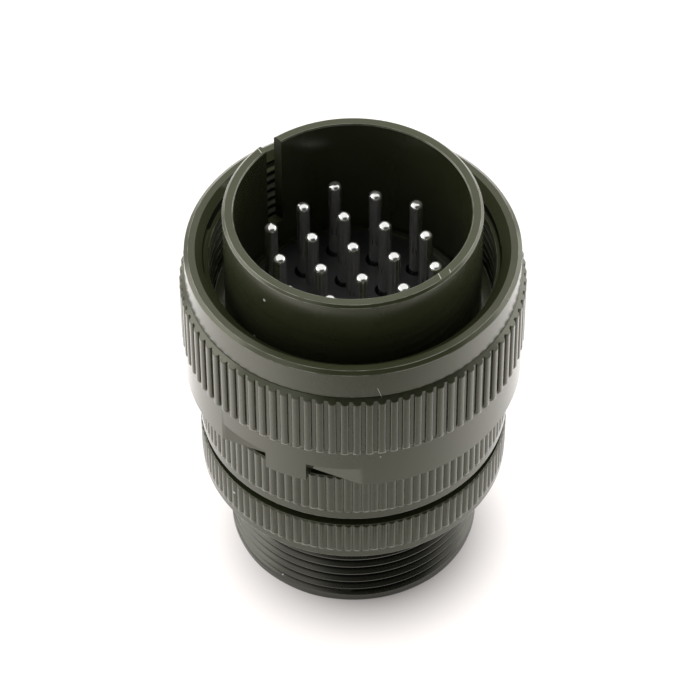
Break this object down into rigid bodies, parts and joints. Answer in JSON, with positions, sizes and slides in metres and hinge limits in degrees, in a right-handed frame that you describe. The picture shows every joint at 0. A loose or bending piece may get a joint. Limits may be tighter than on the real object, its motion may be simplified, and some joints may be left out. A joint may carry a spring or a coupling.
{
  "type": "straight circular connector plug",
  "caption": "Straight cable plug with a knurled threaded coupling nut, keyed shell round recessed pin contacts, and knurled end bell with a rear accessory thread.",
  "frame": {"origin": "centre of the rear end face", "axes": "+Z along the plug's axis towards the mating end, +Y towards the open keyway of the shell"},
  "size_m": [0.0404, 0.0404, 0.0534],
  "materials": {
    "drab_plating": "satin olive drab plating",
    "insulator": "moulded, dull",
    "silver_plating": "silver plated, bright",
    "washer_steel": "plain",
    "ring_steel": "dark spring steel"
  },
  "bodies": {
    "plug_body": {"plug_shell": "drab_plating", "end_bell": "drab_plating", "front_insert": "insulator", "rear_insert": "insulator", "nut_retaining_ring": "ring_steel", "insert_retaining_ring": "ring_steel", "contact_a": "silver_plating", "contact_b": "silver_plating", "contact_c": "silver_plating", "contact_d": "silver_plating", "contact_e": "silver_plating", "contact_f": "silver_plating", "contact_g": "silver_plating", "contact_h": "silver_plating", "contact_j": "silver_plating", "contact_k": "silver_plating", "contact_l": "silver_plating", "contact_m": "silver_plating", "contact_n": "silver_plating", "contact_p": "silver_plating", "contact_r": "silver_plating", "contact_s": "silver_plating", "contact_t": "silver_plating", "contact_u": "silver_plating", "contact_v": "silver_plating"},
    "thrust_washer": {"nut_thrust_washer": "washer_steel"},
    "nut": {"coupling_nut": "drab_plating"}
  },
  "joints": [
    {"name": "nut_end_play", "type": "slide", "parent": "plug_body", "child": "thrust_washer", "axis": [0, 0, 1], "range_m": [0, 0.0011]},
    {"name": "nut_spin", "type": "hinge", "parent": "thrust_washer", "child": "nut", "pos_m": [0, 0, 0.0326], "axis": [0, 0, 1], "continuous": true}
  ]
}
